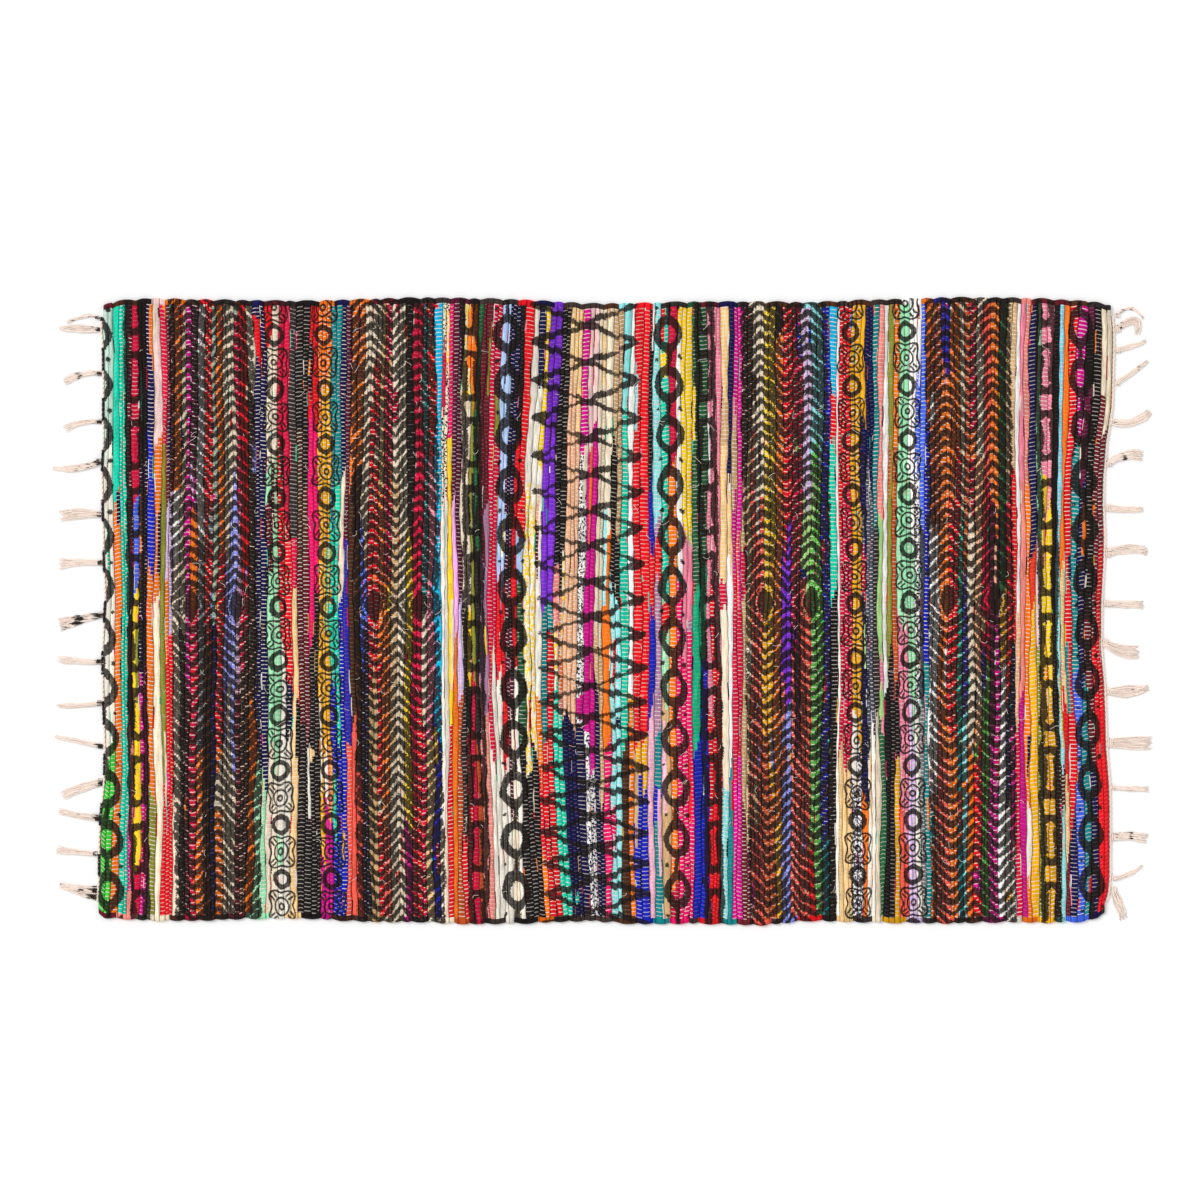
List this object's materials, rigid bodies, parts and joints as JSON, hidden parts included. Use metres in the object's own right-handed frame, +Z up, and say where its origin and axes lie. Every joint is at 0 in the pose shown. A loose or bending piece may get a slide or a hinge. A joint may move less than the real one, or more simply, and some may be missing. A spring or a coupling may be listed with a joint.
{
  "type": "rag rug",
  "caption": "Oblong handwoven rug of striped rag weft on cotton warp, lying flat, with a cream heading and knotted fringe at either end.",
  "frame": {"origin": "middle of the whole rug's outline, fringe included, on the floor it lies on", "axes": "+X along the warp, the long way; +Y along the weft rows, from one selvedge to the other; +Z up"},
  "size_m": [1.5998, 0.9148, 0.0082],
  "materials": {
    "rag_weave": "handwoven strips of printed and dyed cotton cloth in many colours, matt, with a near-black printed pattern",
    "cotton_fringe": "undyed cream cotton yarn, matt, with brown-black print marks in places"
  },
  "bodies": {
    "root": {"rug_body": "rag_weave", "fringe_left": "cotton_fringe", "fringe_right": "cotton_fringe"}
  },
  "joints": []
}
